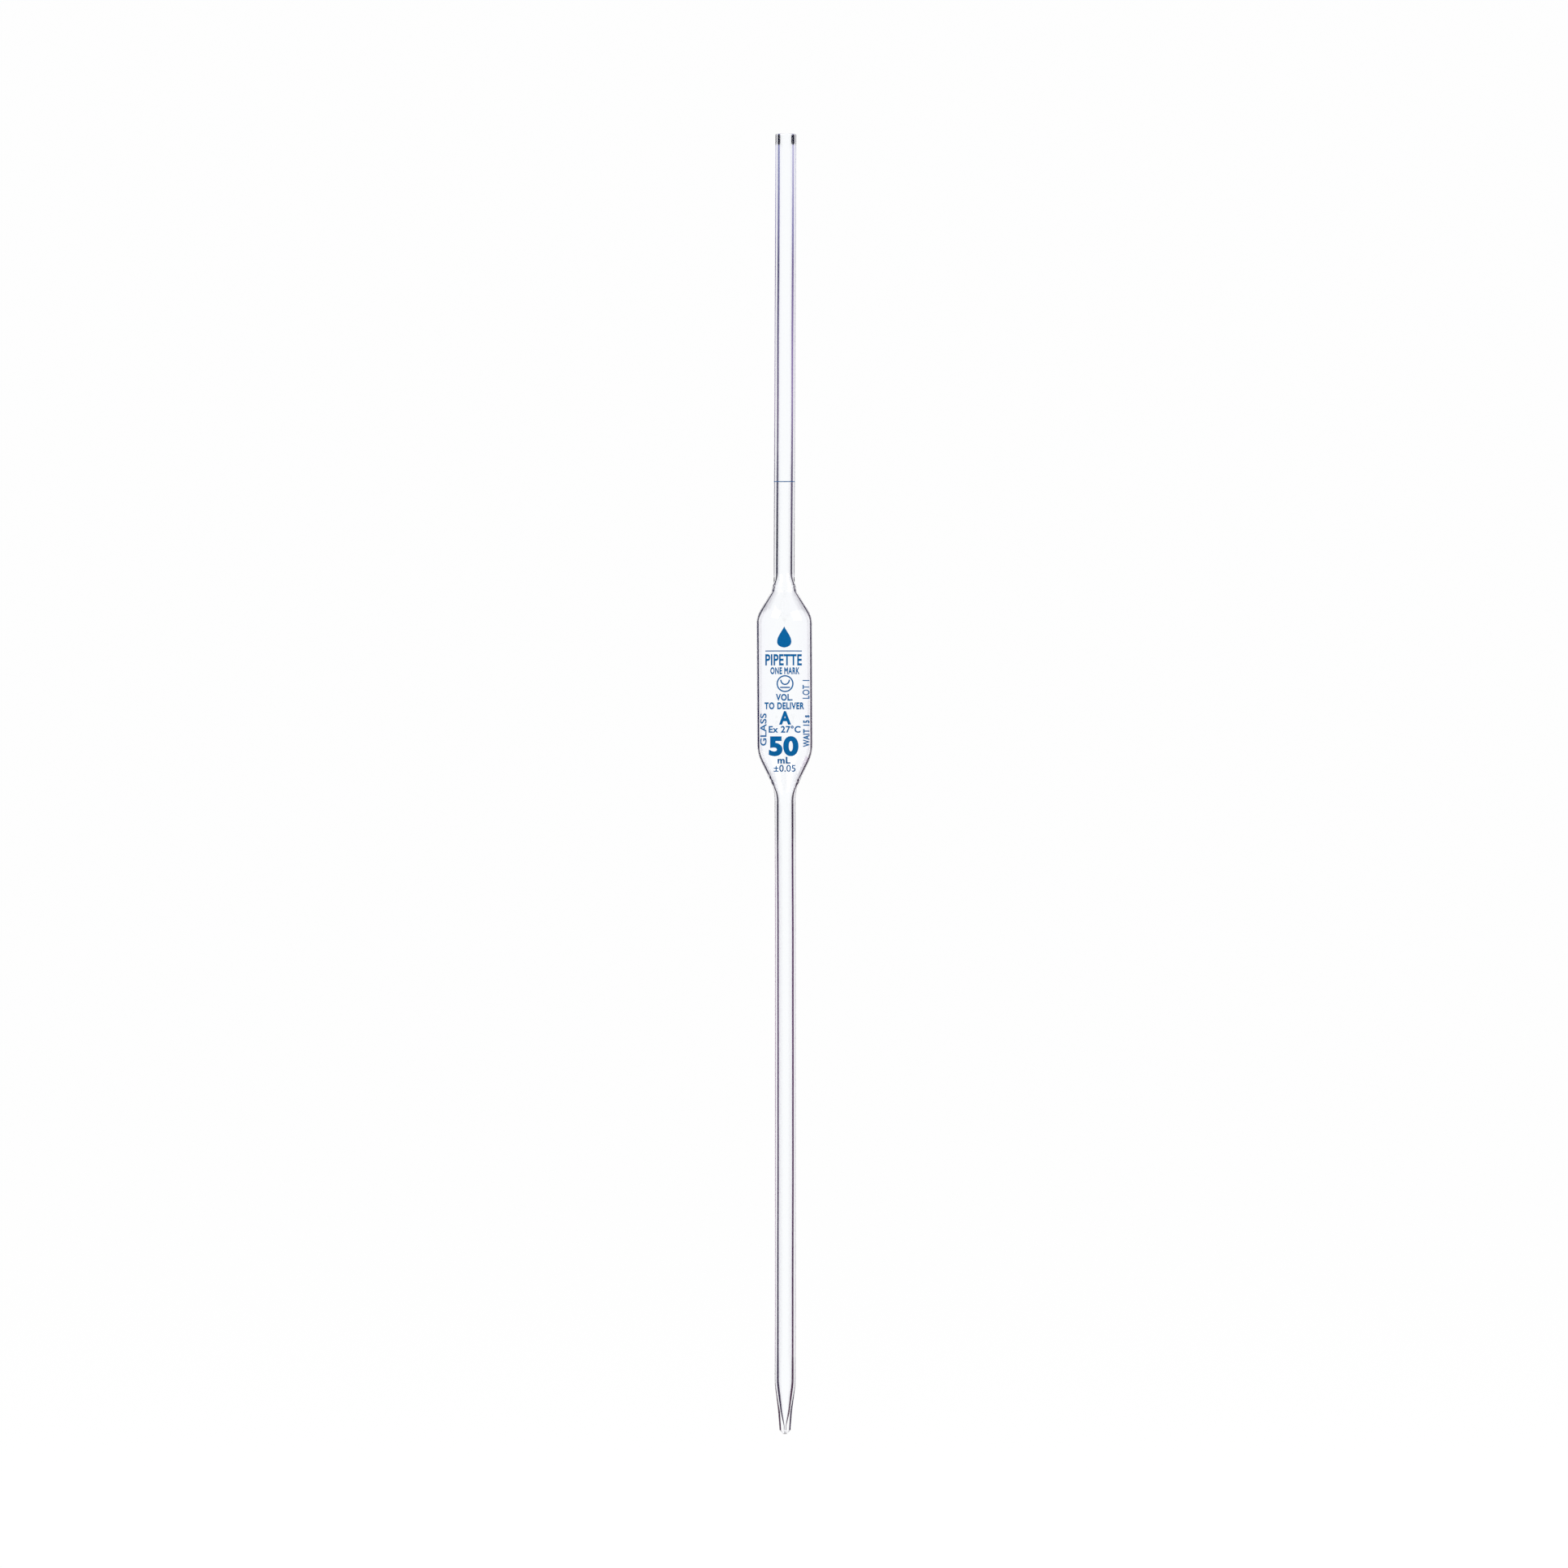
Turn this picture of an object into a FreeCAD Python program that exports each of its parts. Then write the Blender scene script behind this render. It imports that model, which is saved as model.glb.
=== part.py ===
"""One-mark volumetric pipette for 50 mL, of three glass pieces sealed end to end, with its fired print.

Frame: the origin is the centre of the jet's orifice, +Z runs up the bore to the mouth, and the print
faces -Y. Lengths are in millimetres. The ring mark stands where the bore below it holds 50 mL.
"""
import FreeCAD, Part
import math
import os

# Driving dimensions of the glass
OVERALL_LENGTH = 620.0
NOMINAL_CAPACITY = 50000.0  # cubic millimetres up to the ring mark
TUBE_RADIUS = 5.0
SUCTION_BORE_RADIUS = 3.2
DELIVERY_BORE_RADIUS = 3.3
JET_BORE_RADIUS = 0.4
BULB_RADIUS = 13.3
BULB_BORE_RADIUS = 12.38

# Heights up the pipette
JET_BEVEL_TOP = 2.0
JET_TAPER_TOP = 23.8
LOWER_SEAL = 311.5
LOWER_SHOULDER_TOP = 324.3
UPPER_SHOULDER_FOOT = 390.1
UPPER_SEAL = 404.0
SUCTION_FLARE_TOP = 410.0

# Outer and bore radii where two pieces are sealed together
LOWER_SEAL_RADIUS = 7.14
LOWER_SEAL_BORE = 5.9
UPPER_SEAL_RADIUS = 5.62
UPPER_SEAL_BORE = 4.62

# Enamel print and ring mark
PRINT_THICKNESS = 0.05
RING_MARK_WIDTH = 0.4
TEXT_STROKE = 0.5
GLYPH_HEIGHT = 6.0  # the grid units of a capital letter
LETTER_GAP = 0.3  # clear glass between the edges of two letters

AXIS = FreeCAD.Vector(0, 0, 1)
ORIGIN = FreeCAD.Vector(0, 0, 0)


# ---- Outlines: straight runs joined by tangent arcs -------------------------------------------------

def unit(vector):
    return vector * (1.0 / vector.Length)


def rounded_runs(corners, closed=False):
    """Runs (start, end, centre, turn) along corners (x, z, radius). Turn is 0 on a straight run,
    1 on an arc that bends left and -1 on one that bends right."""
    points = [FreeCAD.Vector(x, 0, z) for x, z, radius in corners]
    count = len(points)
    runs = []
    trims = []
    for i, (x, z, radius) in enumerate(corners):
        if radius == 0 or (not closed and i in (0, count - 1)):
            trims.append(None)
            continue
        before = unit(points[i] - points[i - 1])
        after = unit(points[(i + 1) % count] - points[i])
        turn = 1 if before.z * after.x - before.x * after.z < 0 else -1
        half_angle = before.getAngle(after) / 2
        trim = radius * math.tan(half_angle)
        start = points[i] - before * trim
        centre = start + FreeCAD.Vector(-before.z, 0, before.x) * (turn * radius)
        trims.append((start, points[i] + after * trim, centre, turn))
    for i in range(count if closed else count - 1):
        here = trims[i]
        there = trims[(i + 1) % count]
        if here:
            runs.append(here)
        start = here[1] if here else points[i]
        end = there[0] if there else points[(i + 1) % count]
        if (end - start).Length > 1e-6:
            runs.append((start, end, None, 0))
    return runs


def run_edges(runs, shift=0.0):
    """Edges along the runs, moved to the left by shift."""
    edges = []
    for start, end, centre, turn in runs:
        if turn == 0:
            along = unit(end - start)
            side = FreeCAD.Vector(-along.z, 0, along.x) * shift
            edges.append(Part.LineSegment(start + side, end + side).toShape())
            continue
        radius = (start - centre).Length
        new_radius = radius - turn * shift
        if new_radius < 1e-6:
            continue
        from_centre = [unit(start - centre), unit(start + end - centre * 2), unit(end - centre)]
        edges.append(Part.Arc(*[centre + arm * new_radius for arm in from_centre]).toShape())
    return edges


def joined(*edge_lists):
    """One closed wire from chains of edges, with a straight edge across each gap between chains."""
    edges = []
    chains = [chain for chain in edge_lists if chain]
    for i, chain in enumerate(chains):
        edges += chain
        gap_start = chain[-1].lastVertex(True).Point
        gap_end = chains[(i + 1) % len(chains)][0].firstVertex(True).Point
        if (gap_end - gap_start).Length > 1e-6:
            edges.append(Part.LineSegment(gap_start, gap_end).toShape())
    return Part.Wire(Part.__sortEdges__(edges))


def turned(outer, inner):
    """The solid of revolution between two outlines, each a list of corners from bottom to top."""
    inner_edges = run_edges(rounded_runs(inner[::-1]))
    wire = joined(run_edges(rounded_runs(outer)), inner_edges)
    return Part.Face(wire).revolve(ORIGIN, AXIS, 360)


# ---- Glass ------------------------------------------------------------------------------------------

DELIVERY_OUTLINE = [
    (0.85, 0.0, 0),
    (1.05, 0.45, 0.3),
    (2.62, JET_BEVEL_TOP - 0.2, 0.25),
    (3.45, 12.0, 90.0),
    (TUBE_RADIUS, JET_TAPER_TOP, 36.0),
    (TUBE_RADIUS, LOWER_SEAL - 4.45, 18.0),
    (LOWER_SEAL_RADIUS, LOWER_SEAL, 0),
]
DELIVERY_BORE = [
    (JET_BORE_RADIUS, 0.0, 0),
    (JET_BORE_RADIUS, 4.0, 6.0),
    (1.65, 10.6, 30.0),
    (DELIVERY_BORE_RADIUS, 24.5, 30.0),
    (DELIVERY_BORE_RADIUS, LOWER_SEAL - 7.3, 14.0),
    (LOWER_SEAL_BORE, LOWER_SEAL, 0),
]
BULB_OUTLINE = [
    (LOWER_SEAL_RADIUS, LOWER_SEAL, 0),
    (BULB_RADIUS, LOWER_SHOULDER_TOP, 21.0),
    (BULB_RADIUS, UPPER_SHOULDER_FOOT, 13.0),
    (5.85, UPPER_SEAL - 1.8, 6.0),
    (UPPER_SEAL_RADIUS, UPPER_SEAL, 0),
]
BULB_BORE = [
    (LOWER_SEAL_BORE, LOWER_SEAL, 0),
    (BULB_BORE_RADIUS, LOWER_SHOULDER_TOP + 0.3, 20.0),
    (BULB_BORE_RADIUS, UPPER_SHOULDER_FOOT - 0.4, 12.2),
    (5.0, UPPER_SEAL - 2.3, 5.0),
    (UPPER_SEAL_BORE, UPPER_SEAL, 0),
]
SUCTION_OUTLINE = [
    (UPPER_SEAL_RADIUS, UPPER_SEAL, 0),
    (TUBE_RADIUS, UPPER_SEAL + 2.2, 7.0),
    (TUBE_RADIUS, OVERALL_LENGTH, 0.6),
    (TUBE_RADIUS - 1.0, OVERALL_LENGTH, 0),
]
SUCTION_BORE = [
    (UPPER_SEAL_BORE, UPPER_SEAL, 0),
    (SUCTION_BORE_RADIUS, SUCTION_FLARE_TOP, 10.0),
    (SUCTION_BORE_RADIUS, OVERALL_LENGTH, 0.5),
    (SUCTION_BORE_RADIUS + 0.7, OVERALL_LENGTH, 0),
]


def ring_mark_height():
    """The height at which the bore below holds the nominal capacity."""
    straight_bore = SUCTION_FLARE_TOP + 2.0
    bore = DELIVERY_BORE[:-1] + [(LOWER_SEAL_BORE, LOWER_SEAL, 0)] + BULB_BORE[1:-1]
    bore += [SUCTION_BORE[0], SUCTION_BORE[1], (SUCTION_BORE_RADIUS, straight_bore, 0)]
    edges = run_edges(rounded_runs(bore))
    axis_edge = Part.LineSegment(FreeCAD.Vector(0, 0, straight_bore), ORIGIN).toShape()
    volume = Part.Face(joined(edges, [axis_edge])).revolve(ORIGIN, AXIS, 360).Volume
    missing = NOMINAL_CAPACITY - volume
    return straight_bore + missing / (math.pi * SUCTION_BORE_RADIUS ** 2)


def ring_mark(height):
    foot = FreeCAD.Vector(0, 0, height - RING_MARK_WIDTH / 2)
    outside = Part.makeCylinder(TUBE_RADIUS + PRINT_THICKNESS, RING_MARK_WIDTH, foot)
    return outside.cut(Part.makeCylinder(TUBE_RADIUS, RING_MARK_WIDTH, foot))


# ---- Print: stroke letters laid on the bulb's front -------------------------------------------------

def bar(*points):
    return points, 0, False


def bend(radius, *points):
    return points, radius, False


def loop(radius, *points):
    return points, radius, True


# Each glyph is its width and its strokes, on a grid in which a capital is 6 high
GLYPHS = {
    "A": (4.4, [bar((0, 0), (2.2, 6)), bar((2.2, 6), (4.4, 0)), bar((0.8, 2), (3.6, 2))]),
    "C": (4.0, [bend(1.7, (4, 4.2), (4, 6), (0, 6), (0, 0), (4, 0), (4, 1.8))]),
    "D": (4.0, [bar((0, 0), (0, 6)), bend(1.9, (0, 6), (4, 6), (4, 0), (0, 0))]),
    "E": (3.6, [bar((0, 0), (0, 6)), bar((0, 6), (3.6, 6)), bar((0, 3.1), (3.2, 3.1)), bar((0, 0), (3.6, 0))]),
    "G": (4.0, [bend(1.6, (4, 4.3), (4, 6), (0, 6), (0, 0), (4, 0), (4, 2.7)), bar((4, 2.7), (2.4, 2.7))]),
    "I": (0.0, [bar((0, 0), (0, 6))]),
    "K": (4.0, [bar((0, 0), (0, 6)), bar((3.8, 6), (0, 2.4)), bar((1.4, 3.6), (4, 0))]),
    "L": (3.4, [bar((0, 6), (0, 0)), bar((0, 0), (3.4, 0))]),
    "M": (4.8, [bar((0, 0), (0, 6)), bar((0, 6), (2.4, 1.6)), bar((2.4, 1.6), (4.8, 6)), bar((4.8, 6), (4.8, 0))]),
    "N": (4.0, [bar((0, 0), (0, 6)), bar((0, 6), (4, 0)), bar((4, 0), (4, 6))]),
    "O": (4.2, [loop(2.0, (0, 0), (4.2, 0), (4.2, 6), (0, 6))]),
    "P": (4.0, [bar((0, 0), (0, 6)), bend(1.5, (0, 6), (4, 6), (4, 2.8), (0, 2.8))]),
    "R": (4.0, [bar((0, 0), (0, 6)), bend(1.5, (0, 6), (4, 6), (4, 2.8), (0, 2.8)), bar((1.8, 2.8), (4, 0))]),
    "S": (3.8, [bend(1.3, (3.8, 4.6), (3.8, 6), (0, 6), (0, 3.1), (3.8, 3.1), (3.8, 0), (0, 0), (0, 1.4))]),
    "T": (4.0, [bar((0, 6), (4, 6)), bar((2, 0), (2, 6))]),
    "V": (4.4, [bar((0, 6), (2.2, 0)), bar((2.2, 0), (4.4, 6))]),
    "W": (6.0, [bar((0, 6), (1.5, 0)), bar((1.5, 0), (3, 6)), bar((3, 6), (4.5, 0)), bar((4.5, 0), (6, 6))]),
    "m": (4.8, [
        bar((0, 0), (0, 4.2)),
        bend(1.1, (0, 4.2), (2.4, 4.2), (2.4, 0)),
        bend(1.1, (2.4, 4.2), (4.8, 4.2), (4.8, 0)),
    ]),
    "s": (3.0, [bend(0.95, (3, 3.2), (3, 4.2), (0, 4.2), (0, 2.1), (3, 2.1), (3, 0), (0, 0), (0, 1))]),
    "x": (3.2, [bar((0, 0), (3.2, 4.2)), bar((0, 4.2), (3.2, 0))]),
    "0": (3.8, [loop(1.8, (0, 0), (3.8, 0), (3.8, 6), (0, 6))]),
    "1": (1.6, [bar((0, 4.8), (1.6, 6)), bar((1.6, 6), (1.6, 0))]),
    "2": (3.8, [bend(1.3, (0, 4.4), (0, 6), (3.8, 6), (3.8, 3.6), (0, 0)), bar((0, 0), (3.8, 0))]),
    "5": (3.8, [
        bar((3.5, 6), (0.3, 6)),
        bar((0.3, 6), (0.1, 3.5)),
        bend(1.6, (0.1, 3.5), (3.8, 3.5), (3.8, 0), (0, 0), (0, 1.7)),
    ]),
    "7": (3.8, [bar((0, 6), (3.8, 6)), bar((3.8, 6), (1.2, 0))]),
    "°": (1.5, [loop(0.7, (0, 4.5), (1.5, 4.5), (1.5, 6), (0, 6))]),
    "±": (3.6, [bar((0, 0.2), (3.6, 0.2)), bar((0, 3.6), (3.6, 3.6)), bar((1.8, 1.8), (1.8, 5.4))]),
    ".": (0.2, [bar((0, 0), (0.2, 0))]),
    " ": (1.6, []),
}


def stroke_face(points, radius, closed, width):
    """The flat face of a pen stroke of the given width, with round ends."""
    half = width / 2
    runs = rounded_runs([(x, z, max(radius, half)) for x, z in points], closed)
    sides = [run_edges(runs, half), run_edges(runs, -half)]
    if closed:
        rims = sorted([joined(side) for side in sides], key=lambda wire: wire.BoundBox.DiagonalLength)
        return Part.Face(rims[1]).cut(Part.Face(rims[0]))
    path = [FreeCAD.Vector(x, 0, z) for x, z in points]
    ends = [(path[0], unit(path[0] - path[1])), (path[-1], unit(path[-1] - path[-2]))]
    for end, outward in ends:
        across = FreeCAD.Vector(-outward.z, 0, outward.x)
        rim = [end + arm * half for arm in (across, outward, -across)]
        sides.append([Part.Arc(*rim).toShape()])
    return Part.Face(Part.Wire(Part.__sortEdges__(sum(sides, []))))


def print_film():
    """The film of enamel over the bulb, from which each print is cut."""
    grown = [(r + PRINT_THICKNESS, z, radius) for r, z, radius in BULB_OUTLINE]
    return turned(grown, BULB_OUTLINE)


FILM = print_film()


def printed(faces):
    """The enamel where flat faces in the XZ plane are laid straight onto the bulb's front."""
    depth = BULB_RADIUS + 1.0
    prisms = [face.extrude(FreeCAD.Vector(0, -depth, 0)) for face in faces]
    stamp = prisms[0].multiFuse(prisms[1:]).removeSplitter() if len(prisms) > 1 else prisms[0]
    return FILM.common(stamp)


def word(text, left, foot, width, height, stroke=TEXT_STROKE, upwards=False):
    """Text in a box of width and height. Upwards text starts at (left, foot) and reads up the bulb."""
    widths = [GLYPHS[letter][0] for letter in text]
    spacing = stroke + LETTER_GAP
    across = (width - stroke - spacing * (len(text) - 1)) / sum(widths)
    up = (height - stroke) / GLYPH_HEIGHT
    cursor = 0.0
    solids = []
    for letter, glyph_width in zip(text, widths):
        faces = []
        for points, radius, closed in GLYPHS[letter][1]:
            placed = []
            for u, v in points:
                along = stroke / 2 + cursor + u * across
                rise = stroke / 2 + v * up
                placed.append((left - rise, foot + along) if upwards else (left + along, foot + rise))
            faces.append(stroke_face(placed, radius * min(across, up), closed, stroke))
        if faces:
            solids += printed(faces).Solids
        cursor += glyph_width * across + spacing
    return Part.makeCompound(solids)


def drop_emblem(centre, foot, radius, height):
    """A drop of liquid: a round foot that runs up to a point, with a gleam left clear."""
    middle = FreeCAD.Vector(centre, 0, foot + radius)
    tip = FreeCAD.Vector(centre, 0, foot + height)
    reach = height - radius
    lean = math.acos(radius / reach)
    right = middle + FreeCAD.Vector(math.sin(lean), 0, math.cos(lean)) * radius
    left = middle + FreeCAD.Vector(-math.sin(lean), 0, math.cos(lean)) * radius
    bottom = middle - AXIS * radius
    edges = [
        Part.LineSegment(left, tip).toShape(),
        Part.LineSegment(tip, right).toShape(),
        Part.Arc(right, bottom, left).toShape(),
    ]
    gleam = [(centre - radius * math.cos(a), foot + radius - radius * math.sin(a)) for a in (0.1, 0.7, 1.3)]
    gleam = [(centre + (x - centre) * 0.6, foot + radius + (z - foot - radius) * 0.6) for x, z in gleam]
    clear = stroke_face(gleam, radius * 0.5, False, TEXT_STROKE)
    return printed([Part.Face(Part.Wire(edges)).cut(clear)])


def meniscus_pictogram(centre, foot, size):
    """A ring round a liquid surface that touches its mark: read at the bottom of the curve."""
    half = size / 2 - TEXT_STROKE / 2
    box = [(centre - half, foot + TEXT_STROKE / 2), (centre + half, foot + TEXT_STROKE / 2)]
    box += [(x, foot + size - TEXT_STROKE / 2) for x, z in box[::-1]]
    ring = stroke_face(box, half * 0.999, True, TEXT_STROKE)
    reach = half * 0.8
    mark_level = foot + size * 0.36
    mark = stroke_face([(centre - reach, mark_level), (centre + reach, mark_level)], 0, False, TEXT_STROKE)
    rise = size * 0.28
    curve = [(centre - half * 0.6, mark_level + TEXT_STROKE + rise), (centre - half * 0.5, mark_level + TEXT_STROKE)]
    curve += [(2 * centre - x, z) for x, z in curve[::-1]]
    surface = stroke_face(curve, half * 0.42, False, TEXT_STROKE)
    return printed([ring, mark, surface])


def rule_line(left, foot, width, height):
    line = stroke_face([(left + height / 2, foot), (left + width - height / 2, foot)], 0, False, height)
    return printed([line])


# ---- Nodes ------------------------------------------------------------------------------------------

def nodes():
    mark_height = ring_mark_height()
    print("ring mark at", round(mark_height, 2), "mm")
    return {
        "delivery_tube": turned(DELIVERY_OUTLINE, DELIVERY_BORE),
        "bulb": turned(BULB_OUTLINE, BULB_BORE),
        "suction_tube": turned(SUCTION_OUTLINE, SUCTION_BORE),
        "ring_mark": ring_mark(mark_height),
        "drop_emblem_print": drop_emblem(-0.4, 375.0, 3.4, 10.1),
        "rule_line_print": rule_line(-9.4, 373.3, 17.4, 0.5),
        "title_print": word("PIPETTE", -9.4, 366.4, 17.4, 5.4, 0.95),
        "one_mark_print": word("ONE MARK", -7.0, 362.2, 13.9, 3.4),
        "meniscus_print": meniscus_pictogram(0.0, 353.7, 8.1),
        "volume_word_print": word("VOL.", -4.4, 349.6, 8.0, 3.3),
        "to_deliver_print": word("TO DELIVER", -9.8, 345.5, 18.9, 3.4),
        "class_letter_print": word("A", -2.9, 338.2, 5.8, 6.5, 1.1),
        "temperature_print": word("Ex 27°C", -7.8, 334.3, 15.2, 3.5),
        "capacity_print": word("50", -7.8, 323.2, 14.2, 9.6, 2.0),
        "unit_print": word("mL", -3.6, 319.7, 6.2, 3.2),
        "tolerance_print": word("±0.05", -5.4, 315.8, 10.4, 3.3),
        "glass_print": word("GLASS", -8.8, 328.2, 15.4, 3.1, upwards=True),
        "wait_print": word("WAIT 15 s", 11.7, 327.6, 15.2, 3.1, upwards=True),
        "lot_print": word("LOT 1", 11.7, 350.6, 8.9, 3.4, upwards=True),
    }


os.makedirs("parts", exist_ok=True)
for name, shape in nodes().items():
    print(name, "valid", shape.isValid(), "solids", len(shape.Solids), "mm3", round(shape.Volume, 3))
    shape.exportStep("parts/" + name + ".step")
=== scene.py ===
"""The looks of a 50 mL one-mark pipette: worked glass, a fired blue print and a bright-field studio.

Places are in the frame of the CAD model: the jet's orifice at the origin, +Z up the bore to the mouth,
and the print facing -Y. Outlines are in millimetres, and every Blender object is in metres.
"""
import math

import bmesh
import bpy
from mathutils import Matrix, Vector, noise


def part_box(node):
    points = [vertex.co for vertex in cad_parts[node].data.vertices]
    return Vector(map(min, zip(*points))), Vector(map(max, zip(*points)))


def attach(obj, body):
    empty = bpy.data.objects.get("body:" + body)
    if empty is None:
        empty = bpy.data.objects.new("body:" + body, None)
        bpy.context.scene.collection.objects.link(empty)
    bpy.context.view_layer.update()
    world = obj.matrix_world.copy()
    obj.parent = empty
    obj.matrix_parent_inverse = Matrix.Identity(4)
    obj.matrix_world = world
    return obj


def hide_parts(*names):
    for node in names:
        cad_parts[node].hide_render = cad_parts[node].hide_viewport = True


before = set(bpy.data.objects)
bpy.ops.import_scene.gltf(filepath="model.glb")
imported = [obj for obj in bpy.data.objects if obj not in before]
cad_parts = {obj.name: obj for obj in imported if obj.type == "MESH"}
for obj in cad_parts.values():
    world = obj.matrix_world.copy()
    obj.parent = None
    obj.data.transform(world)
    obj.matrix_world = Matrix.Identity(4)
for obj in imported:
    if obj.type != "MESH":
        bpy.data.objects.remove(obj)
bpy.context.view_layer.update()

MM = 0.001
BODY = "root"

# ---- Sizes of the glass, in millimetres -------------------------------------------------------------

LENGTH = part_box("suction_tube")[1].z / MM
LOWER_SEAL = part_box("bulb")[0].z / MM
UPPER_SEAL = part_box("bulb")[1].z / MM
TUBE_RADIUS = 5.0
SUCTION_BORE_RADIUS = 3.2
DELIVERY_BORE_RADIUS = 3.3
JET_BORE_RADIUS = 0.4
JET_BEVEL_TOP = 2.0
JET_TAPER_TOP = 23.8
BULB_RADIUS = 13.3
BULB_BORE_RADIUS = 12.38
LOWER_SHOULDER_TOP = 324.3
UPPER_SHOULDER_FOOT = 390.1
LOWER_SEAL_RADIUS, LOWER_SEAL_BORE = 7.14, 5.9
UPPER_SEAL_RADIUS, UPPER_SEAL_BORE = 5.62, 4.62

# Corners (radius, height, fillet) of the outlines, from the bottom up
DELIVERY_OUTSIDE = [
    (0.85, 0.0, 0),
    (1.05, 0.45, 0.3),
    (2.62, JET_BEVEL_TOP - 0.2, 0.25),
    (3.45, 12.0, 90.0),
    (TUBE_RADIUS, JET_TAPER_TOP, 36.0),
    (TUBE_RADIUS, LOWER_SEAL - 4.45, 18.0),
    (LOWER_SEAL_RADIUS, LOWER_SEAL, 0),
]
DELIVERY_BORE = [
    (JET_BORE_RADIUS, 0.0, 0),
    (JET_BORE_RADIUS, 4.0, 6.0),
    (1.65, 10.6, 30.0),
    (DELIVERY_BORE_RADIUS, 24.5, 30.0),
    (DELIVERY_BORE_RADIUS, LOWER_SEAL - 7.3, 14.0),
    (LOWER_SEAL_BORE, LOWER_SEAL, 0),
]
BULB_OUTSIDE = [
    (LOWER_SEAL_RADIUS, LOWER_SEAL, 0),
    (BULB_RADIUS, LOWER_SHOULDER_TOP, 21.0),
    (BULB_RADIUS, UPPER_SHOULDER_FOOT, 13.0),
    (5.85, UPPER_SEAL - 1.8, 6.0),
    (UPPER_SEAL_RADIUS, UPPER_SEAL, 0),
]
BULB_BORE = [
    (LOWER_SEAL_BORE, LOWER_SEAL, 0),
    (BULB_BORE_RADIUS, LOWER_SHOULDER_TOP + 0.3, 20.0),
    (BULB_BORE_RADIUS, UPPER_SHOULDER_FOOT - 0.4, 12.2),
    (5.0, UPPER_SEAL - 2.3, 5.0),
    (UPPER_SEAL_BORE, UPPER_SEAL, 0),
]
SUCTION_OUTSIDE = [
    (UPPER_SEAL_RADIUS, UPPER_SEAL, 0),
    (TUBE_RADIUS, UPPER_SEAL + 2.2, 7.0),
    (TUBE_RADIUS, LENGTH, 0.6),
    (TUBE_RADIUS - 1.0, LENGTH, 0),
]
SUCTION_BORE = [
    (UPPER_SEAL_BORE, UPPER_SEAL, 0),
    (SUCTION_BORE_RADIUS, UPPER_SEAL + 6.0, 10.0),
    (SUCTION_BORE_RADIUS, LENGTH, 0.5),
    (SUCTION_BORE_RADIUS + 0.7, LENGTH, 0),
]

# What the flame leaves: the axis is a little bent, and the seals carry small beads
BENDS = [(0.0, 0.0), (60.0, 0.17), (250.0, 0.2), (325.0, -0.06), (409.0, -0.46), (LENGTH, 0.36)]
BEND_EASE = 12.0  # half of the height over which a bend is spread
BEADS = [  # (height, rise, half height, side in degrees, how one-sided)
    (UPPER_SEAL + 0.1, 0.10, 0.6, 170.0, 0.3),
    (LOWER_SEAL + 1.7, 0.08, 0.7, 180.0, 0.8),
    (LOWER_SEAL - 3.6, 0.07, 0.9, 185.0, 0.8),
    (LOWER_SEAL + 0.3, 0.09, 0.6, 0.0, 0.9),
]
BEAD_REACH = 6.0
SIDES = 144
COARSE_STEP = 4.0
FINE_STEP = 0.25
ARC_STEP = math.radians(4.0)
TUBE_WAVE = 0.02  # how far the drawing waves lift the tubes' outside
WAVE_HEIGHT = 45.0
WAVE_BELOW_BULB = 10.0  # how far under the lower seal the drawing waves begin
WAVE_ABOVE_BULB = 8.0  # how far over the upper seal they begin
WAVE_EASE = 20.0  # the height over which they come up
BORE_DRIFT = 0.07  # how far the bore wanders about its middle
BORE_SIDE = 0.08  # how far the suction tube's bore stands off its middle, towards +X

# Print
PRINT_GAP = 0.008
PRINT_THICKNESS = 0.05
PRINT_GRID = 0.4
MITRE_LIMIT = 0.6  # the sharpest corner that a heavier line may keep, as the cosine of its half turn
RING_WIDTH = 0.24
RING_SIDES = 180


# ---- Outlines ---------------------------------------------------------------------------------------

def rounded(corners):
    """Points (radius, height) along straight runs joined by tangent arcs."""
    points = [Vector((radius, height)) for radius, height, fillet in corners]
    line = [points[0]]
    for i in range(1, len(points) - 1):
        fillet = corners[i][2]
        before = (points[i] - points[i - 1]).normalized()
        after = (points[i + 1] - points[i]).normalized()
        turn = math.atan2(before.x * after.y - before.y * after.x, before.dot(after))
        start = points[i] - before * fillet * math.tan(abs(turn) / 2)
        side = math.copysign(1.0, turn)
        centre = start + Vector((-before.y, before.x)) * fillet * side
        arm = start - centre
        steps = max(2, math.ceil(abs(turn) / ARC_STEP))
        for k in range(steps + 1):
            angle = turn * k / steps
            turned = Vector((
                arm.x * math.cos(angle) - arm.y * math.sin(angle),
                arm.x * math.sin(angle) + arm.y * math.cos(angle),
            ))
            line.append(centre + turned)
    line.append(points[-1])
    return line


def divided(line, beads):
    """The same outline, with points close together near a bead and further apart elsewhere."""
    result = [line[0]]
    for start, end in zip(line, line[1:]):
        length = (end - start).length
        travelled = 0.0
        while travelled < length:
            height = start.lerp(end, travelled / length).y
            near = any(abs(height - bead[0]) < BEAD_REACH for bead in beads)
            travelled += FINE_STEP if near else COARSE_STEP
            result.append(start.lerp(end, min(1.0, travelled / length)))
    return result


def outside_radius(corners):
    """A function of height that gives an outline's radius."""
    line = rounded(corners)

    def radius_at(height):
        for low, high in zip(line, line[1:]):
            if low.y <= height <= high.y and high.y > low.y:
                return low.x + (high.x - low.x) * (height - low.y) / (high.y - low.y)
        return line[0].x if height < line[0].y else line[-1].x

    return radius_at


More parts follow.
